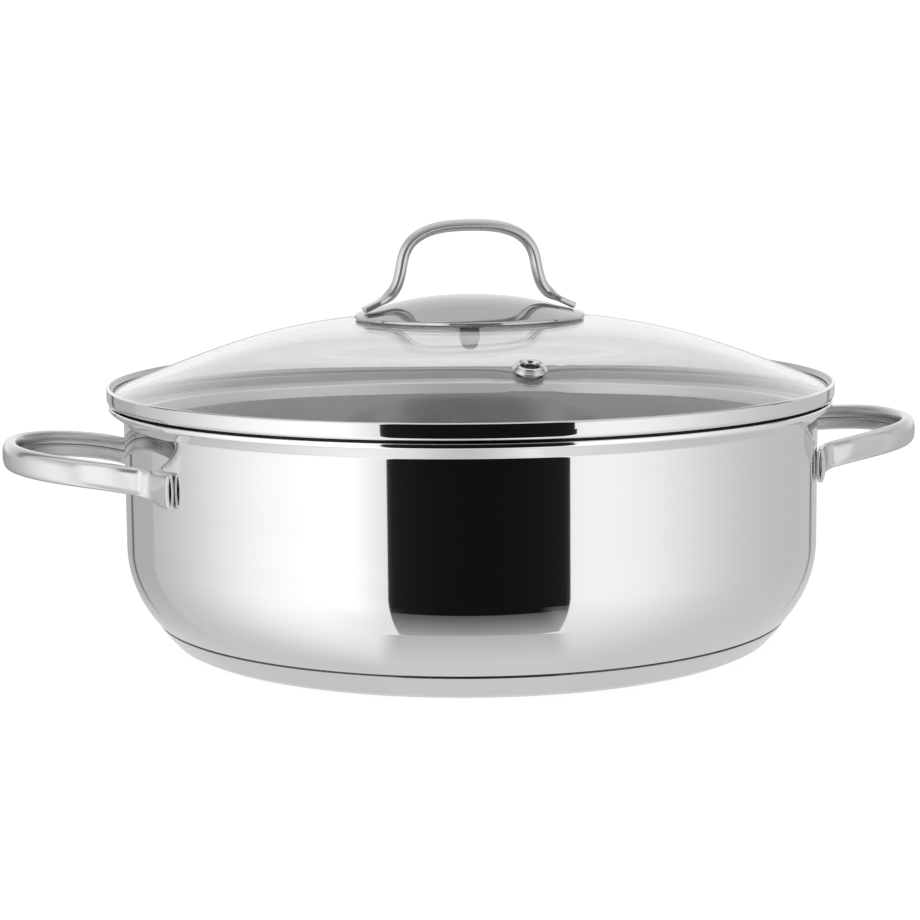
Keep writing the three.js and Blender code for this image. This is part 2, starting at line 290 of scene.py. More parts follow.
def steel(name, colour, rough, spread, kind="turned", pitch=0.0009, line_slope=1.0e-7, wave=0.0, fleck=0.02, edge=None, smear=0.0, metal=1.0):
    """Stainless steel: faint lines left by polishing, soft clouds of haze, and a slow waviness of the sheet."""
    mat = bpy.data.materials.new(name)
    mat.use_nodes = True
    net = Net(mat.node_tree)
    out = net.node("ShaderNodeOutputMaterial")
    p = net.node("ShaderNodeBsdfPrincipled")
    p.inputs["Metallic"].default_value = metal
    if edge is not None:
        p.inputs["Specular Tint"].default_value = (edge, edge, edge, 1.0)
    if smear > 0:
        # circular brushing spreads a reflection upwards and downwards
        p.inputs["Anisotropic"].default_value = smear
        p.inputs["Anisotropic Rotation"].default_value = 0.25
        net.put(p.inputs["Tangent"], net.node("ShaderNodeTangent", direction_type="RADIAL", axis="Z").outputs[0])
    k = 1.0 / pitch
    if kind == "turned":
        cx, cy, r, z, pos = grain_turned(net)
        vec = net.vector(net.mul(cx, 1.6), net.mul(cy, 1.6), net.mul(r, k))
        lines = net.noise(vec, 1.0, 3.0, 0.65, net.mul(z, k))
        wide = net.noise(net.vector(net.mul(cx, 0.9), net.mul(cy, 0.9), net.mul(r, k * 0.16)), 1.0, 2.0, 0.5, net.mul(z, k * 0.16))
    elif kind == "drawn":
        cx, cy, r, z, pos = grain_turned(net)
        lines = net.noise(net.vector(net.mul(cx, 4.5), net.mul(cy, 4.5), net.mul(z, 45.0)), 1.0, 3.0, 0.6)
        wide = net.noise(net.vector(net.mul(cx, 1.7), net.mul(cy, 1.7), net.mul(z, 20.0)), 1.0, 2.0, 0.5)
    else:
        pos = net.node("ShaderNodeTexCoord").outputs["Object"]
        run = net.node("ShaderNodeAttribute", attribute_name="run").outputs["Fac"]
        girth = net.node("ShaderNodeAttribute", attribute_name="girth").outputs["Fac"]
        lines = net.noise(net.vector(net.mul(run, 40.0), net.mul(girth, k), 0.3), 1.0, 3.0, 0.65)
        wide = net.noise(net.vector(net.mul(run, 18.0), net.mul(girth, k * 0.2), 7.1), 1.0, 2.0, 0.5)
    cloud = net.noise(pos, 26.0, 3.0, 0.55)
    mixed = net.add(net.mul(lines, 0.45), net.add(net.mul(wide, 0.3), net.mul(cloud, 0.25)))
    low = tuple(c * (1 - fleck) for c in colour)
    high = tuple(min(1.0, c * (1 + fleck)) for c in colour)
    net.put(p.inputs["Base Color"], net.tint(net.ramp(mixed, 0.3, 0.7, smooth=False), low, high))
    haze = net.add(net.mul(cloud, 0.5), net.mul(lines, 0.5))
    net.put(p.inputs["Roughness"], net.ramp(haze, 0.25, 0.75, max(0.0, rough - spread), rough + spread, smooth=False))
    normal = net.bump(lines, line_slope)
    if wave > 0:
        slow = net.noise(pos, 17.0, 1.0, 0.4)
        normal = net.bump(slow, wave, 1.0, normal)
    net.put(p.inputs["Normal"], normal)
    net.put(out.inputs["Surface"], p.outputs[0])
    return mat


def plain_noise_material(name, low, high, rough, metallic, scale, bump):
    mat = bpy.data.materials.new(name)
    mat.use_nodes = True
    net = Net(mat.node_tree)
    out = net.node("ShaderNodeOutputMaterial")
    p = net.node("ShaderNodeBsdfPrincipled")
    p.inputs["Metallic"].default_value = metallic
    pos = net.node("ShaderNodeTexCoord").outputs["Object"]
    fine = net.noise(pos, scale, 4.0, 0.6)
    broad = net.noise(pos, scale * 0.12, 2.0, 0.5)
    both = net.add(net.mul(fine, 0.5), net.mul(broad, 0.5))
    net.put(p.inputs["Base Color"], net.tint(net.ramp(both, 0.32, 0.68, smooth=False), low, high))
    net.put(p.inputs["Roughness"], net.ramp(fine, 0.3, 0.7, rough[0], rough[1], smooth=False))
    net.put(p.inputs["Normal"], net.bump(fine, bump))
    net.put(out.inputs["Surface"], p.outputs[0])
    return mat, p


STEEL = (0.775, 0.775, 0.78)
mirror = steel("mirror_steel", STEEL, 0.035, 0.02, wave=4.0e-6)
# lighter copy of the polished steel for the pot's flare and lip: painted highlight
rim_highlight_steel = steel("rim_highlight_steel", (0.91, 0.91, 0.915), 0.07, 0.02)
satin_in = steel("satin_steel_inside", (0.47, 0.475, 0.475), 0.2, 0.03, pitch=0.0006, line_slope=1.5e-7, fleck=0.06, smear=0.9)
# dark steel under the lid band, over the pot's rim: painted shade in the gap between lid and pot
band_gap_shade_steel = steel("band_gap_painted_shade_steel", (0.15, 0.15, 0.152), 0.4, 0.08, pitch=0.0006, line_slope=4.0e-7, fleck=0.08)
# near-black steel for the bottom of the groove between base cap and wall: painted shade in the crevice
groove_shade_steel = steel("groove_painted_shade_steel", (0.085, 0.085, 0.087), 0.42, 0.08, pitch=0.0006, line_slope=4.0e-7, fleck=0.08)
cap_steel = steel("base_cap_steel", (0.75, 0.75, 0.755), 0.09, 0.03, pitch=0.0007, line_slope=3.0e-7, fleck=0.03)
grip_steel = steel("grip_steel", (0.66, 0.66, 0.665), 0.19, 0.04, kind="swept", pitch=0.0006, line_slope=2.0e-7, fleck=0.025)
grip_inside = steel("grip_inside_steel", (0.47, 0.47, 0.475), 0.24, 0.05, kind="swept", pitch=0.0005, line_slope=3.0e-7, fleck=0.05)
bar_steel = steel("bar_steel", (0.62, 0.62, 0.625), 0.2, 0.04, kind="swept", pitch=0.0005, line_slope=1.0e-7)
plate_steel = steel("plate_steel", (0.58, 0.58, 0.585), 0.05, 0.02, pitch=0.0006, line_slope=1.2e-7, edge=0.76)
band_inside = steel("band_inside_steel", (0.47, 0.475, 0.47), 0.32, 0.05, pitch=0.0006, line_slope=3.0e-7, fleck=0.03)
# pale steel for the lid band's skirt inside the pot: painted light, far lighter than the band's satin inside
skirt_lit_steel = steel("skirt_lit_steel", (0.92, 0.925, 0.92), 0.3, 0.05, pitch=0.0006, line_slope=3.0e-7, fleck=0.03)
eyelet_steel = steel("eyelet_steel", (0.76, 0.76, 0.765), 0.15, 0.03, pitch=0.0004, line_slope=1.0e-7)
nut_steel = steel("nut_steel", (0.9, 0.9, 0.895), 0.5, 0.12, kind="drawn", line_slope=6.0e-6, fleck=0.12, metal=0.06)
small_steel = steel("satin_steel", (0.66, 0.66, 0.67), 0.26, 0.06, pitch=0.0004, line_slope=4.0e-7, fleck=0.05)
silicone, _p = plain_noise_material("silicone", (0.80, 0.81, 0.79), (0.88, 0.885, 0.87), (0.42, 0.6), 0.0, 900.0, 4.0e-6)
_p.inputs["Transmission Weight"].default_value = 0.6
_p.inputs["IOR"].default_value = 1.41
aluminium, _p = plain_noise_material("rolled_aluminium", (0.66, 0.67, 0.69), (0.76, 0.77, 0.79), (0.34, 0.5), 1.0, 700.0, 6.0e-6)


def glass_material():
    """Tempered glass: clear, faintly green, with a trace of haze and of roller waviness."""
    mat = bpy.data.materials.new("tempered_glass")
    mat.use_nodes = True
    net = Net(mat.node_tree)
    out = net.node("ShaderNodeOutputMaterial")
    p = net.node("ShaderNodeBsdfPrincipled")
    p.inputs["Transmission Weight"].default_value = 1.0
    p.inputs["IOR"].default_value = 1.5
    pos = net.node("ShaderNodeTexCoord").outputs["Object"]
    cloud = net.noise(pos, 14.0, 3.0, 0.5)
    net.put(p.inputs["Base Color"], net.tint(cloud, (0.965, 0.98, 0.973), (0.975, 0.988, 0.982)))
    net.put(p.inputs["Roughness"], net.ramp(net.noise(pos, 60.0, 2.0, 0.5), 0.35, 0.75, 0.0, 0.015, smooth=False))
    net.put(p.inputs["Normal"], net.bump(net.noise(pos, 7.0, 0.0, 0.4), 4.0e-6))
    net.put(out.inputs["Surface"], p.outputs[0])
    return mat


glass = glass_material()


# ------------------------------------------------------------------ pot body
def flange(off):
    """Rim of the sheet: bent out to a shallow cone and up again at its edge; off is the distance from its outer face."""
    tilt = 36.0
    up = math.radians(tilt)
    z0 = 91.3
    out = arc(142.0, z0, 1.0 + off, 180, 90 + tilt, 5)
    start = (142.0 - math.sin(up), z0 + math.cos(up))
    run = (146.33 - start[0]) / math.cos(up)
    end = (146.33, start[1] + run * math.sin(up))
    centre = (end[0] - 1.3 * math.sin(up), end[1] + 1.3 * math.cos(up))
    out += arc(centre[0], centre[1], 1.3 - off, tilt - 90, 0, 7)
    top = centre[1] + 0.7
    out.append((centre[0] + 1.3 - off, top))
    return out, arc(centre[0] + 0.9, top, 0.4, 0, 180, 20)[1:-1]


def pot_profile():
    outer = rounded([(0, 6.2), (121.2, 6.2, 5.0), (126.5, 7.44)])[:-1]
    outer += arc(96.3, 40.4, 44.7, -47.5, -43.4, 0.7)
    # narrow groove between the cap's rim and the wall
    outer += arc(96.3, 40.4, 44.62, -43.33, -43.33, 1) [:1] + arc(96.3, 40.4, 44.25, -43.25, -42.42, 0.4) + arc(96.3, 40.4, 44.62, -42.36, -42.36, 1)[:1]
    outer += arc(96.3, 40.4, 44.7, -42.28, 0, 0.7)
    rim_out, edge = flange(0.0)
    rim_in, _ = flange(0.8)
    inner = rim_in[::-1] + arc(96.3, 40.4, 43.9, 0, -47.5, 1.9)
    inner += rounded([(126.0, 8.05), (121.0, 7.0, 5.0), (0, 7.0)])[1:]
    return support(outer + rim_out + edge + inner)


def pot_slot(p, q):
    """0 for the polished outside and lip, 1 for the satin inside, 2 for the bottom of the groove, dark steel that
    paints the shade in it, 3 for the flare under the rim, a lighter copy of the polished steel that paints a highlight
    on it.
    """
    mid_z = (p[1] + q[1]) / 2
    going_down = q[1] < p[1] - 1e-9
    flat_inside = abs(q[1] - p[1]) < 1e-9 and q[0] < p[0]
    if not going_down and 9.4 < mid_z < 10.6 and math.hypot((p[0] + q[0]) / 2 - 96.3, mid_z - 40.4) < 44.67:
        return 2
    if not going_down and (p[0] + q[0]) / 2 > 141.12 and mid_z > 84.8:
        return 3
    return 1 if (going_down and mid_z < 91.2) or flat_inside else 0


pot_body = lathe("pot_body_shell", pot_profile(), [mirror, satin_in, groove_shade_steel, rim_highlight_steel], 288, slot_of=pot_slot)
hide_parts("pot_body")
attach(pot_body, "pot")

# ---------------------------------------------------------------- base cap
cap = rounded([
    (0, 0), (119.0, 0, 2.6), (122.6, 1.75, 2.4), (126.0, 5.55), (128.1, 8.1), (129.0, 9.5, 0.08), (128.85, 9.62, 0.06),
    (128.5, 9.3, 0.1), (127.5, 8.3), (125.45, 6.05), (121.95, 2.1, 2.0), (118.8, 0.6, 2.0), (0, 0.6),
])
base_cap = lathe("base_cap", support(cap), [cap_steel], 288)
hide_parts("base_capsule")
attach(base_cap, "pot")

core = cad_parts["base_core_disc"]
core.data.materials.clear()
core.data.materials.append(aluminium)


# -------------------------------------------------------------- side handles
def smoothstep(x, a, b):
    t = np.clip((np.asarray(x, float) - a) / (b - a), 0, 1)
    return t * t * (3 - 2 * t)


def grip_path():
    pts = []
    for deg in (25.2, 23.7, 22.2, 20.8):
        t = math.radians(deg)
        pts.append((142.8 * math.cos(t), 142.8 * math.sin(t)))
    pts += [(134.8, 48.2), (136.8, 46.2), (139.2, 44.95), (141.9, 44.6)]
    for deg in (14, 24, 34, 44, 54, 64, 74, 82, 90):
        t = math.radians(deg)
        pts.append((137.4 + 48.2 * math.sin(t) ** (2 / 2.3), 44.6 * max(0.0, math.cos(t)) ** (2 / 2.3)))
    pts[-1] = (185.6, 0.0)
    pts += [(x, -y) for x, y in pts[-2::-1]]
    u = [min(1.0, max(0.0, (x - 136) / 49.6)) for x, _ in pts]
    P = [(x, y, 73.0 + 7.8 * k * (1.42 - 0.42 * k)) for (x, y), k in zip(pts, u)]
    total = cubic(P, count=2)[1][-1]
    # the arms rise quickly out of the pressed feet
    half = np.concatenate([np.linspace(0, 30, 44)[:-1], np.linspace(30, total / 2, 60)])
    s = np.concatenate([half, total - half[-2::-1]])
    Q = cubic(P, s)[0]
    e = np.minimum(s, total - s)
    Q[:, 2] += 0.6 * smoothstep(e, 8, 18) * (1 - smoothstep(e, 24, 62))
    return Q, s, total


def grip_section(outside, inside, H, notch):
    """Folded sheet tube, (u outwards, w up). Its two edges meet along the inner face, in a narrow seam."""
    def point(a):
        c, sn = math.cos(a), math.sin(a)
        p = 2.4 if c > 0 and sn > 0 else 3.0
        return math.copysign(abs(c) ** (2 / p), c) * (outside if c > 0 else inside), math.copysign(abs(sn) ** (2 / p), sn) * H / 2
    lip_w, lip_r, slit = 0.5, 0.34, 0.1
    edge = math.asin((lip_w / (H / 2)) ** (3.0 / 2))
    n = 60
    pts = [point(-(math.pi - edge) + 2 * (math.pi - edge) * i / n) for i in range(n + 1)]
    base = pts[-1][0]
    depth = min(1.1, 0.6 * inside)
    one_side = []
    for deg in (22.5, 45, 67.5, 90):
        t = math.radians(deg)
        one_side.append((base + notch * lip_r * (1 - math.cos(t)), lip_w - (lip_w - slit) * math.sin(t)))
    one_side += [(base + notch * depth * 0.6, slit * 0.98), (base + notch * depth, slit * 0.8)]
    pts += one_side + [(base + notch * depth * 1.05, 0.0)] + [(u, -w) for u, w in one_side[::-1]]
    return np.array(pts)


def grip(name, turn, lean=0.0):
    P, s, total = grip_path()
    P[:, 2] += abs(lean) * smoothstep(P[:, 1] * np.sign(lean), -8, 44) * smoothstep(np.minimum(s, total - s), 6, 28)
    D = np.gradient(P, axis=0)
    D /= np.linalg.norm(D, axis=1)[:, None]
    side = np.stack([-D[:, 1], D[:, 0], np.zeros(len(D))], 1)
    side /= np.linalg.norm(side, axis=1)[:, None]
    up = np.cross(D, side)
    e = np.minimum(s, total - s)
    k = smoothstep(e, 11, 46)
    foot = 1.0 - smoothstep(e, 3, 21)
    rings, run, girth = [], [], []
    for i in range(len(P)):
        sec = grip_section(1.65 + 2.0 * k[i], 1.65 + 0.6 * k[i], 10.7 + 2.9 * foot[i], float(smoothstep(e[i], 9, 17)))
        Q = P[i] + sec[:, :1] * side[i] + (sec[:, 1:] - 0.55 * foot[i]) * up[i]
        rad = np.hypot(Q[:, 0], Q[:, 1])
        push = np.where(rad < 141.06, 141.06 / rad, 1.0)
        Q[:, :2] *= push[:, None]
        rings.append(Q)
        run.append(np.full(len(Q), s[i] * MM))
        g = np.r_[0, np.cumsum(np.linalg.norm(np.diff(sec, axis=0), axis=1))]
        girth.append(g * MM)

    def end(i):
        """Pressed end: a rounded rim, the two layers of sheet, and the lens-shaped slot that is left between them."""
        away = -D[i] if i == 0 else D[i]
        u, w = rings[i] @ side[i], rings[i] @ up[i]
        along = float(np.mean(rings[i] @ D[i]))
        um, wm = (u.max() + u.min()) / 2, (w.max() + w.min()) / 2
        u, w = u - um, w - wm
        half = w.max()
        lens = np.maximum(0.0, 1 - (w / half) ** 2)
        sets = []
        for ku, kw, lens_u, push in ((0.95, 0.99, 0.0, 0.14), (0.86, 0.97, 0.0, 0.22), (0.0, 0.86, 0.66, 0.22), (0.0, 0.83, 0.58, 0.06), (0.0, 0.81, 0.54, -1.8), (0.0, 0.78, 0.5, -5.0)):
            nu = u * ku if lens_u == 0 else np.sign(u) * lens_u * np.maximum(lens, 0.12)
            sets.append((um + nu)[:, None] * side[i] + (wm + w * kw)[:, None] * up[i] + along * D[i] + away * push)
        return sets

    head, tail = end(0), end(len(rings) - 1)
    n = len(head)
    R = head[::-1] + rings + tail
    nv = len(R[0])
    tube = [2 if j < 9 or j >= 51 else 0 for j in range(nv)]
    slots = [[1] * nv] * 3 + [tube] * (len(R) - 1 - 6) + [[1] * nv] * 3
    run = [run[0]] * n + run + [run[-1]] * n
    girth = [girth[0]] * n + girth + [girth[-1]] * n
    R = np.array(R)
    if turn:
        R[:, :, :2] *= -1
    return skin(name, R, [grip_steel, small_steel, grip_inside], run, girth, slots)


for label, turn in (("right", False), ("left", True)):
    g = grip("side_grip_" + label, turn, -0.9 if label == "left" else 0.0)
    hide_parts("side_handle_" + label)
    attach(g, "pot")

# ------------------------------------------------------------------ lid glass
GLASS_TOP = [
    (0, 132.05), (12, 131.93), (24, 131.45), (47, 129.85), (62, 128.2), (76, 125.8), (90, 122.45),
    (104, 118.1), (118, 113.1), (131, 108.15), (139.5, 104.95), (146.5, 102.35),
]
_gr = np.array([p[0] for p in GLASS_TOP])
_gc, _ = cubic(GLASS_TOP, count=2400)
GLASS_T = 3.7
VENT = (0.0, -103.0, 118.35)
VENT_TILT = 18.6


def glass_z(r):
    return np.interp(r, _gc[:, 0], _gc[:, 1])


def glass_piece():
    hole, rim = 4.2, 145.4
    radii = np.unique(np.r_[hole, 4.8, 6, 8.5, np.arange(12, 143.5, 2.6), 144.6, rim])
    seg = 216
    pts, loops = [], []
    ct = math.cos(math.radians(VENT_TILT))
    for r in radii:
        ring_ids = []
        for j in range(seg):
            t = 2 * math.pi * j / seg
            x, y = r * math.cos(t), r * math.sin(t)
            if math.hypot(x - VENT[0], (y - VENT[1]) / ct) < 17.0:
                continue
            ring_ids.append(len(pts))
            pts.append((x, y))
        if r in (hole, rim):
            loops.append(ring_ids)
    vent_ids = []
    for k, rho in enumerate((5.0, 5.35, 6.0, 6.9, 7.9, 9.0, 10.2, 11.5, 12.9, 14.3, 15.7)):
        for j in range(44):
            t = 2 * math.pi * (j + 0.5 * (k % 2)) / 44
            if k == 0:
                vent_ids.append(len(pts))
            pts.append((VENT[0] + rho * math.cos(t), VENT[1] + rho * ct * math.sin(t)))
    edges = []
    for loop in loops + [vent_ids]:
        edges += [(loop[i], loop[(i + 1) % len(loop)]) for i in range(len(loop))]
    v2, _, f2, orig, _, _ = delaunay_2d_cdt([Vector(p) for p in pts], edges, [], 0, 1e-7)
    V2 = np.array([(p.x, p.y) for p in v2])
    index = {o[0]: i for i, o in enumerate(orig) if o}
    hole_ids = [index[i] for i in loops[0]]
    rim_ids = [index[i] for i in loops[1]]
    vent_ids = [index[i] for i in vent_ids]
    tris = []
    for f in f2:
        c = V2[list(f)].mean(0)
        if math.hypot(*c) < hole * 0.999 or math.hypot(c[0] - VENT[0], (c[1] - VENT[1]) / ct) < 4.99:
            continue
        tris.append(tuple(f))
    r = np.hypot(V2[:, 0], V2[:, 1])
    rho = np.hypot(V2[:, 0] - VENT[0], (V2[:, 1] - VENT[1]) / ct)
    uphill = (V2[:, 1] - VENT[1]) / ct
    swell = uphill / 11.0 * np.exp(-(rho / 11.0) ** 2)
    top = np.c_[V2, glass_z(r)]
    slope = (glass_z(r + 0.05) - glass_z(np.maximum(r - 0.05, 0))) / 0.1
    rr = np.maximum(r, 1e-6)
    N = np.c_[-slope * V2[:, 0] / rr, -slope * V2[:, 1] / rr, np.ones(len(r))]
    N /= np.linalg.norm(N, axis=1)[:, None]
    bottom = top - N * (GLASS_T - 0.5 * smoothstep(r, 50, 146) + DIMPLE * swell)[:, None]
    n = len(top)
    verts = [top, bottom]
    faces = [t for t in tris] + [tuple(n + i for i in t[::-1]) for t in tris]
    base = 2 * n

    def strip(a, b, flip):
        m = len(a)
        for i in range(m):
            j = (i + 1) % m
            q = (a[i], a[j], b[j], b[i])
            faces.append(q[::-1] if flip else q)

    strip(hole_ids, [n + i for i in hole_ids], False)
    strip(vent_ids, [n + i for i in vent_ids], False)
    prev = rim_ids
    ang = np.arctan2(V2[rim_ids, 1], V2[rim_ids, 0])
    zt, zb = float(glass_z(rim)), float(bottom[rim_ids[0], 2])
    rb = float(np.hypot(*bottom[rim_ids[0], :2]))
    edge = rounded([(rim, zt), (146.3, zt - 0.25, 0.9), (146.3, zb + 0.2, 0.9), (rb, zb)], step=22)[1:-1]
    for er, ez in edge:
        ids = list(range(base, base + len(rim_ids)))
        verts.append(np.c_[er * np.cos(ang), er * np.sin(ang), np.full(len(ang), ez)])
        base += len(rim_ids)
        strip(prev, ids, True)
        prev = ids
    strip(prev, [n + i for i in rim_ids], True)
    return make("lid_glass_dome", np.concatenate(verts), faces, [glass])


DIMPLE = 0.07
glass_dome = glass_piece()
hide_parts("lid_glass")
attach(glass_dome, "lid")

# ------------------------------------------------------------------- rim band
band = rounded(
    [(138.65, 86.0, 0.25), (139.5, 91.8, 1.5), (141.85, 94.2, 1.2), (141.95, 98.6, 0.5), (144.9, 98.6, 0.2)]
    + arc(145.5, 100.6, 2.1, -74, 0, 5)
    + [(147.63, 101.6), (147.64, 102.8), (147.63, 103.95)]
    + arc(146.83, 104.45, 0.8, 0, 160, 10)
    + [(145.75, 103.95, 0.6), (144.9, 103.35, 0.1), (145.0, 103.1, 0.1), (146.5, 102.85, 0.5), (146.95, 101.6, 0.8),
       (146.5, 99.3, 0.4), (141.35, 99.2, 0.5), (141.25, 94.5, 1.3), (138.9, 92.1, 1.2), (138.05, 86.2, 0.25)],
    closed=True, step=8.0)


def band_slot(p, q):
    """0 for the polished faces, 1 for the underside over the pot's rim, dark steel that paints the shade in the gap, 2
    for the satin inside, 3 for the skirt, a lighter steel that paints light on it.
    """
    r, z = (p[0] + q[0]) / 2, (p[1] + q[1]) / 2
    rising = q[0] + q[1] > p[0] + p[1]
    if rising and r < 146.05 and z < 99.3:
        return 1 if z > 93.0 else 3
    if rising or r > 146.6:
        return 0
    return 2 if z > 92.6 else 3


rim = lathe("lid_band", support(band, closed=True), [mirror, band_gap_shade_steel, band_inside, skirt_lit_steel], 288, closed=True, slot_of=band_slot)
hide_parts("lid_rim_band")
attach(rim, "lid")


# ----------------------------------------------------------------------- vent
def at_vent(V):
    t = math.radians(VENT_TILT)
    y, z = V[:, 1] * math.cos(t) - V[:, 2] * math.sin(t), V[:, 1] * math.sin(t) + V[:, 2] * math.cos(t)
    return np.c_[V[:, 0] + VENT[0], y + VENT[1], z + VENT[2]]


eyelet = rounded([
    (3.4, 1.3, 1.6), (3.75, 2.65, 0.9), (4.6, 3.05, 0.5), (5.2, 2.65, 0.4), (5.15, 2.12, 0.12), (5.75, 1.98, 0.2), (5.8, 1.52, 0.12), (6.3, 1.4, 0.25),
    (6.42, 0.75, 0.3), (6.2, 0.32, 0.2), (4.3, 0.3, 0.1), (4.2, -0.2, 0.1), (4.2, -5.6, 0.15), (3.4, -5.6, 0.15),
], closed=True, step=15)
ey = lathe("vent_eyelet_turned", support(eyelet, closed=True, edge=0.12, long=0.8, step=3), [eyelet_steel], 96, closed=True, place=at_vent)
sleeve = rounded([(4.5, -0.1, 0.08), (4.75, -0.1, 0.08), (4.75, -4.0), (5.5, -4.0, 0.25), (5.5, -4.8, 0.3), (4.5, -4.8, 0.1)], closed=True, step=20)
vs = lathe("vent_sleeve_moulded", support(sleeve, closed=True, edge=0.1, long=0.8, step=3), [silicone], 72, closed=True, place=at_vent)
ring_b = rounded([(4.5, -5.1, 0.1), (5.2, -5.1, 0.2), (5.35, -5.5, 0.25), (5.1, -5.9, 0.25), (4.6, -5.9, 0.2)], closed=True, step=15)
vr = lathe("vent_ring_rolled", support(ring_b, closed=True, edge=0.1, long=0.8, step=3), [small_steel], 72, closed=True, place=at_vent)
for ob, node, sl in ((ey, "vent_eyelet", "polished_steel"), (vs, "vent_sleeve", "silicone"), (vr, "vent_ring", "satin_steel")):
    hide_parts(node)
    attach(ob, "lid")


# --------------------------------------------------------------- handle plate
def plate_slope(r):
    """Slope of the disc in degrees: a dome that runs out into a shallow cone."""
    return 15.0 * (r / 34.0) ** 1.2 if r < 34.0 else 15.0 + 0.04 * (r - 34.0)


_pr = np.linspace(0, 48.0, 481)
_pz = 139.4 - np.r_[0, np.cumsum([0.1 * math.tan(math.radians(plate_slope(r + 0.05))) for r in _pr[:-1]])]


def plate_z(r):
    return float(np.interp(r, _pr, _pz))


plate = [(r, plate_z(r)) for r in np.linspace(0, 44.9, 36)]
plate += rounded([(44.9, plate_z(44.9)), (46.75, plate_z(46.75), 0.5), (46.95, 130.8, 0.7), (46.5, 130.0, 0.3), (45.8, 130.3, 0.3), (44.9, plate_z(44.9) - 0.55)], step=8)[1:]
plate += [(r, plate_z(r) - 0.8 + 0.25 * (r / 44.9) ** 4) for r in np.linspace(44.2, 0, 34)]
pl = lathe("handle_plate_domed", support(plate, long=3.0), [plate_steel], 240)
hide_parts("lid_handle_plate")
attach(pl, "lid")


# ----------------------------------------------------------------- handle bar
def bar():
    half = [
        [43.6, 134.3], [41.5, 135.25], [39.5, 136.2], [37.5, 137.15], [35.8, 138.05], [34.0, 139.2], [32.3, 140.7], [31.0, 142.4], [30.05, 144.2],
        [29.2, 146.6], [28.5, 149.4], [27.95, 152.2], [27.35, 155.0], [26.2, 158.1], [23.8, 161.5], [20.2, 164.2], [15.4, 166.2], [9.6, 167.35],
        [4.6, 167.7], [0, 167.8],
    ]
    pts = [(-x, z) for x, z in half] + [(x, z) for x, z in half[-2::-1]]
    total = cubic(pts, count=2)[1][-1]
    hs = np.concatenate([np.linspace(0, 22, 40)[:-1], np.linspace(22, total / 2, 64)])
    s = np.concatenate([hs, total - hs[-2::-1]])
    P2 = cubic(pts, s)[0]
    D = np.gradient(P2, axis=0)
    D /= np.linalg.norm(D, axis=1)[:, None]
    e = np.minimum(s, total - s)
    k = smoothstep(e, 6.2, 12.5)
    nv = 48
    rings, run, girth = [], [], []
    for i in range(len(s)):
        t = np.linspace(0, 2 * math.pi, nv, endpoint=False)
        c, sn = np.cos(t), np.sin(t)
        flat = lambda x: np.sign(x) * np.abs(x) ** 0.42
        w = (1 - k[i]) * flat(c) * 3.7 + k[i] * c * 2.4
        h = (1 - k[i]) * flat(sn) * 1.28 + k[i] * sn * 2.4
        up = np.array([-D[i, 1], D[i, 0]])
        Q = np.stack([P2[i, 0] + up[0] * h, w, P2[i, 1] + up[1] * h], 1)
        rings.append(Q)
        run.append(np.full(nv, s[i] * MM))
        girth.append(np.abs(t - math.pi) * 2.4 * MM)

    def end(i):
        away = np.array([-D[i, 0], 0, -D[i, 1]]) if i == 0 else np.array([D[i, 0], 0, D[i, 1]])
        c = rings[i].mean(0)
        return [c + (rings[i] - c) * f + away * p for f, p in ((0.975, 0.1), (0.92, 0.2), (0.82, 0.25), (0.4, 0.27))]

    a, b = end(0), end(len(rings) - 1)
    R = a[::-1] + rings + b
    return skin("handle_arch", R, [bar_steel], [run[0]] * 4 + run + [run[-1]] * 4, [girth[0]] * 4 + girth + [girth[-1]] * 4)


arch = bar()
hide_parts("lid_handle_bar")
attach(arch, "lid")

# -------------------------------------------------------- fixing in the glass
boss = rounded([(0, 133.6), (6.7, 133.6, 0.3), (7.0, 134.0, 0.3), (7.0, 136.2, 0.6), (5.2, 137.6, 0.5), (0, 137.7)], step=15)
seal_u = rounded([(3.2, 132.3, 0.1), (3.2, 133.3, 0.1), (9.4, 133.3, 0.3), (9.8, 132.9, 0.3), (9.8, 132.3, 0.1)], closed=True, step=15)
seal_l = rounded([(2.9, 131.6, 0.1), (3.9, 131.6, 0.2), (3.9, 128.0, 0.1), (6.6, 128.0, 0.25), (6.6, 127.1, 0.3), (2.9, 127.1, 0.1)], closed=True, step=15)
washer = rounded([(2.9, 126.8, 0.1), (6.0, 126.8, 0.2), (6.2, 126.5, 0.2), (6.0, 126.1, 0.2), (2.9, 126.1, 0.1)], closed=True, step=15)
nut = rounded([
    (0, 133.3), (2.5, 133.3, 0.1), (2.6, 133.1, 0.1), (2.6, 125.85, 0.1), (4.25, 125.85, 0.25), (4.3, 125.2, 0.5), (3.6, 122.6, 4.0), (3.1, 121.0, 1.6),
    (2.3, 120.1, 0.8), (1.1, 119.65, 1.0), (0, 119.6),
], step=12)
for name, prof, mat, closed, node, sl in (
    ("handle_boss_turned", boss, small_steel, False, "handle_boss", "satin_steel"),
    ("seal_upper_moulded", seal_u, silicone, True, "seal_upper", "silicone"),
    ("seal_lower_moulded", seal_l, silicone, True, "seal_lower", "silicone"),
    ("fixing_washer_pressed", washer, small_steel, True, "fixing_washer", "satin_steel"),
    ("fixing_nut_turned", nut, nut_steel, False, "fixing_nut", "polished_steel"),
):
    ob = lathe(name, support(prof, closed=closed, edge=0.12, long=0.8, step=3), [mat], 72, closed=closed)
    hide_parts(node)
    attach(ob, "lid")


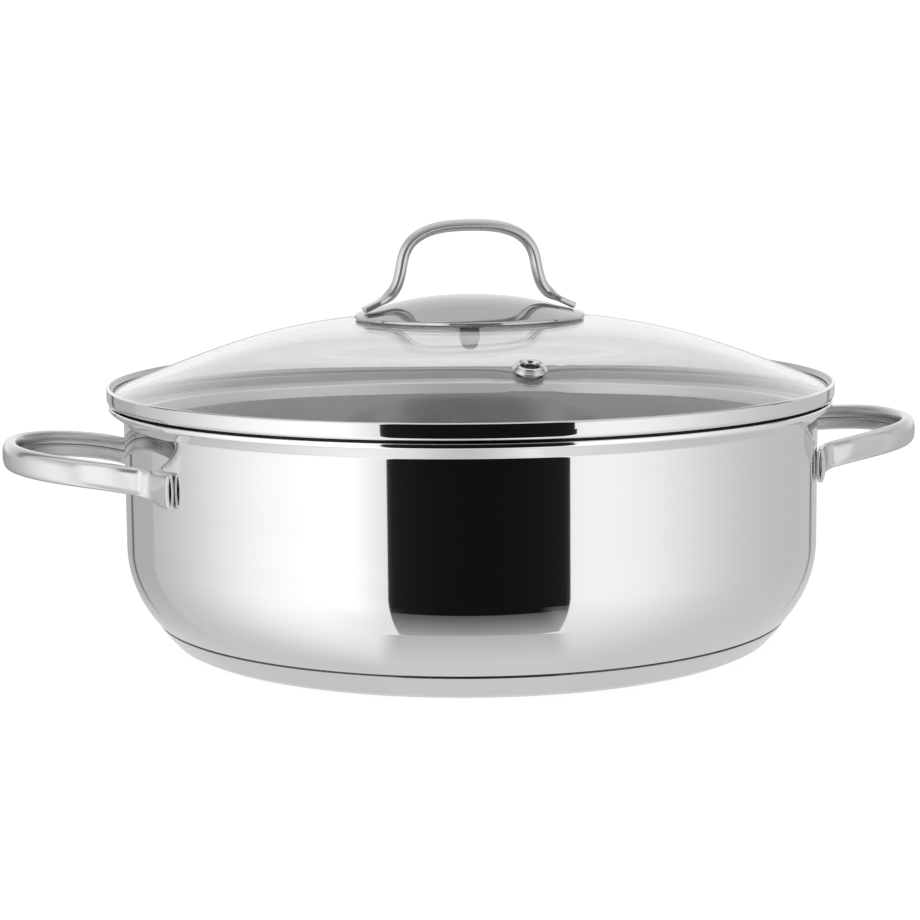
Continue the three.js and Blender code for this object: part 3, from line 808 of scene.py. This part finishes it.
# ---------------------------------------------------------------------- floor
def floor():
    rings = [0.0] + list(np.geomspace(0.05, 7.0, 26))
    n = 96
    verts, faces = [(0.0, 0.0, 0.0)], []
    for r in rings[1:]:
        for j in range(n):
            t = 2 * math.pi * j / n
            verts.append((r * math.cos(t), r * math.sin(t), 0.0))
    for j in range(n):
        faces.append((0, 1 + j, 1 + (j + 1) % n))
    for i in range(len(rings) - 2):
        a, b = 1 + i * n, 1 + (i + 1) * n
        for j in range(n):
            k = (j + 1) % n
            faces.append((a + j, b + j, b + k, a + k))
    me = bpy.data.meshes.new("floor")
    me.from_pydata(verts, [], faces)
    me.update()
    ob = bpy.data.objects.new("floor", me)
    ob.location = (0, 0, -0.0004)
    scene.collection.objects.link(ob)
    mat = bpy.data.materials.new("floor_white")
    mat.use_nodes = True
    net = Net(mat.node_tree)
    out = net.node("ShaderNodeOutputMaterial")
    d = net.node("ShaderNodeBsdfDiffuse")
    pos = net.node("ShaderNodeTexCoord").outputs["Object"]
    net.put(d.inputs["Color"], net.tint(net.noise(pos, 3.0, 2.0, 0.5), (0.075, 0.075, 0.075), (0.08, 0.08, 0.08)))
    shine = net.node("ShaderNodeEmission")
    shine.inputs["Strength"].default_value = 0.955
    both = net.node("ShaderNodeAddShader")
    net.put(both.inputs[0], d.outputs[0])
    net.put(both.inputs[1], shine.outputs[0])
    clear = net.node("ShaderNodeBsdfTransparent")
    m = net.node("ShaderNodeMixShader")
    net.put(m.inputs[0], net.node("ShaderNodeNewGeometry").outputs["Backfacing"])
    net.put(m.inputs[1], both.outputs[0])
    net.put(m.inputs[2], clear.outputs[0])
    net.put(out.inputs["Surface"], m.outputs[0])
    me.materials.append(mat)
    ob.visible_glossy = False
    return ob


floor()


# ----------------------------------------------------------------- dark card
def dark_card():
    """Black card between the pot and the camera, seen only in the polished steel. A grey strip follows below it."""
    x0, x1, y, z0, z1 = -0.0817, 0.0992, -0.241, -0.085, 0.27
    nx, nz = 24, 60
    verts = [(x0 + (x1 - x0) * i / nx, y, z0 + (z1 - z0) * j / nz) for j in range(nz + 1) for i in range(nx + 1)]
    faces = [(j * (nx + 1) + i, j * (nx + 1) + i + 1, (j + 1) * (nx + 1) + i + 1, (j + 1) * (nx + 1) + i) for j in range(nz) for i in range(nx)]
    me = bpy.data.meshes.new("dark_card")
    me.from_pydata(verts, [], faces)
    me.update()
    ob = bpy.data.objects.new("dark_card", me)
    ob.matrix_world = Matrix.Rotation(math.radians(-TURN), 4, "Z")
    scene.collection.objects.link(ob)
    mat = bpy.data.materials.new("dark_card")
    mat.use_nodes = True
    net = Net(mat.node_tree)
    out = net.node("ShaderNodeOutputMaterial")
    s = net.node("ShaderNodeSeparateXYZ")
    net.put(s.inputs[0], net.node("ShaderNodeTexCoord").outputs["Object"])
    x, _, z = s.outputs
    off = net.math("ABSOLUTE", net.sub(x, (x0 + x1) / 2))
    trim = net.sub(1.0, net.mul(net.math("GREATER_THAN", z, 0.086), net.math("GREATER_THAN", x, 0.0962)))
    half = (x1 - x0) / 2
    # how much of the card is there
    sharp = net.ramp(off, half - 0.0006, half, 1.0, 0.0)
    near = net.math("LESS_THAN", net.node("ShaderNodeLightPath").outputs["Ray Length"], 0.175)
    reach = net.math("MAXIMUM", near, net.math("GREATER_THAN", z, 0.09))
    ends = net.ramp(z, 0.2, 0.262, 1.0, 0.0)
    cover = net.mul(net.mul(sharp, ends), net.mul(reach, trim))
    black = net.add(0.0075, net.mul(net.math("POWER", net.math("DIVIDE", off, half), 3.0), 0.011))
    black = net.add(black, net.mul(net.math("EXPONENT", net.mul(net.sub(off, half), 500.0)), 0.085))
    # the lid's handle stands further off and sees it paler
    black = net.add(black, net.mul(net.sub(1.0, near), 0.16))
    strip = net.ramp(z, -0.077, -0.012, 0.42, 0.112, smooth=False)
    is_strip = net.ramp(z, -0.0125, -0.0115, 1.0, 0.0)
    level = net.add(net.mul(black, net.sub(1.0, is_strip)), net.mul(is_strip, strip))
    glow = net.node("ShaderNodeEmission")
    glow.inputs["Color"].default_value = (1.0, 1.0, 1.0, 1.0)
    net.put(glow.inputs["Strength"], level)
    clear = net.node("ShaderNodeBsdfTransparent")
    m = net.node("ShaderNodeMixShader")
    net.put(m.inputs[0], cover)
    net.put(m.inputs[1], clear.outputs[0])
    net.put(m.inputs[2], glow.outputs[0])
    net.put(out.inputs["Surface"], m.outputs[0])
    me.materials.append(mat)
    ob.visible_camera = ob.visible_diffuse = ob.visible_shadow = ob.visible_volume_scatter = ob.visible_transmission = False


dark_card()


def reflected(name, verts, faces, cover_and_level):
    """Surface that is seen only in the polished steel; the function gives how much of it is there and how bright it is."""
    me = bpy.data.meshes.new(name)
    me.from_pydata(verts, [], faces)
    me.update()
    ob = bpy.data.objects.new(name, me)
    ob.matrix_world = Matrix.Rotation(math.radians(-TURN), 4, "Z")
    scene.collection.objects.link(ob)
    mat = bpy.data.materials.new(name)
    mat.use_nodes = True
    net = Net(mat.node_tree)
    out = net.node("ShaderNodeOutputMaterial")
    sep = net.node("ShaderNodeSeparateXYZ")
    net.put(sep.inputs[0], net.node("ShaderNodeTexCoord").outputs["Object"])
    length = net.node("ShaderNodeLightPath").outputs["Ray Length"]
    cover, level = cover_and_level(net, *sep.outputs, length)
    glow = net.node("ShaderNodeEmission")
    net.put(glow.inputs["Strength"], level)
    clear = net.node("ShaderNodeBsdfTransparent")
    m = net.node("ShaderNodeMixShader")
    net.put(m.inputs[0], cover)
    net.put(m.inputs[1], clear.outputs[0])
    net.put(m.inputs[2], glow.outputs[0])
    net.put(out.inputs["Surface"], m.outputs[0])
    me.materials.append(mat)
    ob.visible_camera = ob.visible_diffuse = ob.visible_shadow = ob.visible_volume_scatter = ob.visible_transmission = False


def table_round_pot(net, x, y, z, length):
    """Table close to the pot, where the pot itself takes the light away; it fades out, faster on the left."""
    d = net.math("SQRT", net.add(net.mul(x, x), net.mul(y, y)))
    scale = net.ramp(x, -0.02, 0.02, 0.029, 0.056)
    fade = net.math("MINIMUM", net.math("EXPONENT", net.math("DIVIDE", net.sub(0.131, d), scale)), 1.0)
    fade = net.mul(fade, net.ramp(d, 0.3, 0.42, 1.0, 0.0))
    turn = net.mul(net.math("ARCTAN2", x, net.mul(y, -1.0)), 180 / math.pi)
    # in front it ends at the foot of the card
    front = net.mul(net.ramp(turn, -18.0, -13.5), net.ramp(turn, 14.5, 19.0, 1.0, 0.0))
    ends = net.ramp(d, 0.1662, 0.1672, 1.0, 0.0)
    cover = net.add(net.mul(fade, net.sub(1.0, front)), net.mul(ends, front))
    near = net.ramp(d, 0.138, 0.166, 0.74, 0.56, smooth=False)
    return cover, net.add(net.mul(net.sub(1.0, front), 0.715), net.mul(front, near))


def left_box(net, x, y, z, length):
    """Soft box close to the left handle, next to the black card."""
    cover = net.mul(net.ramp(x, -0.27, -0.19), net.mul(net.ramp(z, -0.05, 0.0), net.ramp(z, 0.22, 0.34, 1.0, 0.0)))
    return cover, net.ramp(x, -0.125, -0.083, 1.32, 1.0, smooth=False)


def right_flag(net, x, y, z, length):
    """Grey card close to the right handle."""
    return net.math("LESS_THAN", length, 0.062), net.ramp(z, 0.04, 0.14, 0.72, 0.84, smooth=False)


def wing(net, x, y, z, length):
    """The black card goes on to the right, out of sight of the pot's wall."""
    far = net.math("GREATER_THAN", length, 0.19)
    return net.mul(far, net.mul(net.ramp(x, 0.125, 0.15, 1.0, 0.0), net.ramp(z, 0.22, 0.29, 1.0, 0.0))), 0.17


def left_fill(net, x, y, z, length):
    """Soft box light that reaches the left handle past the card."""
    return net.math("GREATER_THAN", length, 0.16), 1.3


def annulus(inner, outer, z, rings=18, n=96):
    v = [(r * math.cos(2 * math.pi * j / n), r * math.sin(2 * math.pi * j / n), z) for r in np.linspace(inner, outer, rings) for j in range(n)]
    f = [(i * n + j, (i + 1) * n + j, (i + 1) * n + (j + 1) % n, i * n + (j + 1) % n) for i in range(rings - 1) for j in range(n)]
    return v, f


reflected("table_round_pot", *annulus(0.1, 0.42, -0.0002), table_round_pot)
reflected("wing", [(0.0962, -0.2411, 0.12), (0.15, -0.2411, 0.12), (0.15, -0.2411, 0.29), (0.0962, -0.2411, 0.29)], [(0, 1, 2, 3)], wing)
reflected("left_fill", [(-0.084, -0.2409, -0.03), (-0.01, -0.2409, -0.03), (-0.01, -0.2409, 0.13), (-0.084, -0.2409, 0.13)], [(0, 1, 2, 3)], left_fill)
reflected("left_box", [(-0.27, -0.2412, -0.05), (-0.083, -0.2412, -0.05), (-0.083, -0.2412, 0.34), (-0.27, -0.2412, 0.34)], [(0, 1, 2, 3)], left_box)
reflected("right_flag", [(0.182, -0.0498, 0.02), (0.219, -0.0166, 0.02), (0.219, -0.0166, 0.17), (0.182, -0.0498, 0.17)], [(0, 1, 2, 3)], right_flag)


def over_lid(net, x, y, z, length):
    """Dark part of the ceiling that the front of the glass mirrors; its lower edge follows the dome."""
    height = net.add(z, net.mul(net.mul(x, x), 1.4))
    cover = net.mul(net.ramp(height, 0.241, 0.252), net.ramp(z, 0.34, 0.40, 1.0, 0.0))
    off = net.math("ABSOLUTE", x)
    q = net.math("DIVIDE", net.sub(off, 0.05), 0.012)
    window = net.mul(net.math("EXPONENT", net.mul(net.mul(q, q), -1.0)), 0.75)
    return cover, net.add(net.add(0.02, window), net.ramp(off, 0.06, 0.1, 0.0, 0.25))


reflected("over_lid", [(-0.45, 0.0, 0.12), (0.45, 0.0, 0.12), (0.45, 0.0, 0.42), (-0.45, 0.0, 0.42)], [(0, 1, 2, 3)], over_lid)


# --------------------------------------------------------------------- studio
def studio():
    """Two large soft boxes left and right of the camera, a dark gap between them, a pale ceiling and table."""
    w = bpy.data.worlds.new("studio")
    scene.world = w
    w.use_nodes = True
    net = Net(w.node_tree)
    out = net.node("ShaderNodeOutputWorld")
    m = net.node("ShaderNodeMapping", vector_type="POINT")
    net.put(m.inputs["Vector"], net.node("ShaderNodeTexCoord").outputs["Generated"])
    m.inputs["Rotation"].default_value = (0, 0, math.radians(TURN))
    s = net.node("ShaderNodeSeparateXYZ")
    net.put(s.inputs[0], m.outputs[0])
    x, y, z = s.outputs
    deg = 180 / math.pi
    phi = net.mul(net.math("ARCTAN2", x, net.mul(y, -1.0)), deg)
    el = net.mul(net.math("ARCSINE", net.math("MINIMUM", net.math("MAXIMUM", z, -1.0), 1.0)), deg)

    def lobe(centre, inner, outer, sign):
        """Soft box seen at this azimuth; inner is its fall-off towards the camera."""
        u = net.mul(net.sub(phi, centre), sign)
        width = net.add(inner, net.mul(net.math("GREATER_THAN", u, 0.0), outer - inner))
        q = net.math("DIVIDE", u, width)
        return net.math("EXPONENT", net.mul(net.mul(q, q), -1.0))

    side = net.add(0.585, net.mul(net.math("SINE", net.mul(phi, 1 / deg)), 0.045))
    side = net.add(side, net.mul(lobe(-55.0, 37.0, 48.0, -1.0), 0.72))
    side = net.add(side, net.mul(lobe(40.0, 30.0, 45.0, 1.0), 0.53))
    # edge of the left soft box, and the thin dark edges of the background sheet
    side = net.sub(side, net.mul(net.ramp(phi, -127.6, -126.4, 1.0, 0.0), 0.085))
    q = net.math("DIVIDE", net.sub(net.math("ABSOLUTE", phi), 150.5), 1.7)
    side = net.sub(side, net.mul(net.math("EXPONENT", net.mul(net.mul(q, q), -1.0)), net.ramp(el, -30.0, -16.0, 0.0, 0.38)))
    # ceiling: dark above the camera, paler towards the back, with the upper ends of the soft boxes
    ceiling = net.add(net.add(0.60, net.mul(y, 0.22)), net.ramp(el, 38.0, 62.0, 0.0, 0.30))
    ceiling = net.add(ceiling, net.mul(lobe(-52.0, 30.0, 45.0, -1.0), net.ramp(el, 20.0, 55.0, 0.55, 0.0)))
    ceiling = net.add(ceiling, net.mul(lobe(48.0, 26.0, 50.0, 1.0), net.ramp(el, 15.0, 50.0, 0.32, 0.0)))
    up = net.ramp(el, 4.0, 26.0)
    env = net.add(net.mul(side, net.sub(1.0, up)), net.mul(ceiling, up))
    # white background sheet behind the pot
    back = net.mul(net.ramp(net.math("ABSOLUTE", phi), 110.0, 150.0), net.mul(net.ramp(el, -3.0, 3.0), net.ramp(el, 10.0, 32.0, 1.0, 0.0)))
    env = net.add(net.mul(env, net.sub(1.0, back)), net.mul(back, 1.05))
    # the plain white background is what is seen directly or through the glass
    lp = net.node("ShaderNodeLightPath")
    straight = net.mul(net.math("LESS_THAN", lp.outputs["Glossy Depth"], 0.5), net.math("LESS_THAN", lp.outputs["Diffuse Depth"], 0.5))
    seen = net.math("MAXIMUM", lp.outputs["Is Camera Ray"], net.mul(lp.outputs["Is Transmission Ray"], straight))
    white = net.add(1.02, net.mul(lp.outputs["Is Transmission Ray"], 0.01))
    level = net.add(net.mul(env, net.sub(1.0, seen)), net.mul(seen, white))
    bg = net.node("ShaderNodeBackground")
    bg.inputs["Color"].default_value = (1.0, 1.0, 1.0, 1.0)
    net.put(bg.inputs["Strength"], level)
    net.put(out.inputs["Surface"], bg.outputs[0])

    lamp = bpy.data.lights.new("overhead", "SUN")
    lamp.energy = 2.3
    lamp.angle = math.radians(75)
    ob = bpy.data.objects.new("overhead", lamp)
    ob.rotation_euler = (math.radians(8), math.radians(-6), 0)
    ob.visible_glossy = False
    ob.visible_transmission = False
    scene.collection.objects.link(ob)


studio()


# --------------------------------------------------------------------- camera
def camera():
    pitch, yaw, roll = (math.radians(a) for a in (8.029, -0.258, -0.519))
    fwd = Vector((math.sin(yaw) * math.cos(pitch), math.cos(yaw) * math.cos(pitch), -math.sin(pitch)))
    right = Vector((math.cos(yaw), -math.sin(yaw), 0))
    up = right.cross(fwd)
    r2 = right * math.cos(roll) + up * math.sin(roll)
    u2 = -right * math.sin(roll) + up * math.cos(roll)
    m = Matrix((r2, u2, -fwd)).transposed().to_4x4()
    m.translation = Vector((0, -0.9883, 0.2109))
    cam = bpy.data.cameras.new("camera")
    cam.sensor_width = 36.0
    cam.lens = 2425.5 * 36.0 / 920
    cam.clip_start, cam.clip_end = 0.01, 100
    ob = bpy.data.objects.new("camera", cam)
    ob.matrix_world = Matrix.Rotation(math.radians(-TURN), 4, "Z") @ m
    scene.collection.objects.link(ob)
    scene.camera = ob


camera()
scene.view_settings.view_transform = "Standard"
scene.view_settings.look = "None"
scene.view_settings.exposure = 0.0
scene.view_settings.gamma = 1.0

bpy.context.view_layer.update()
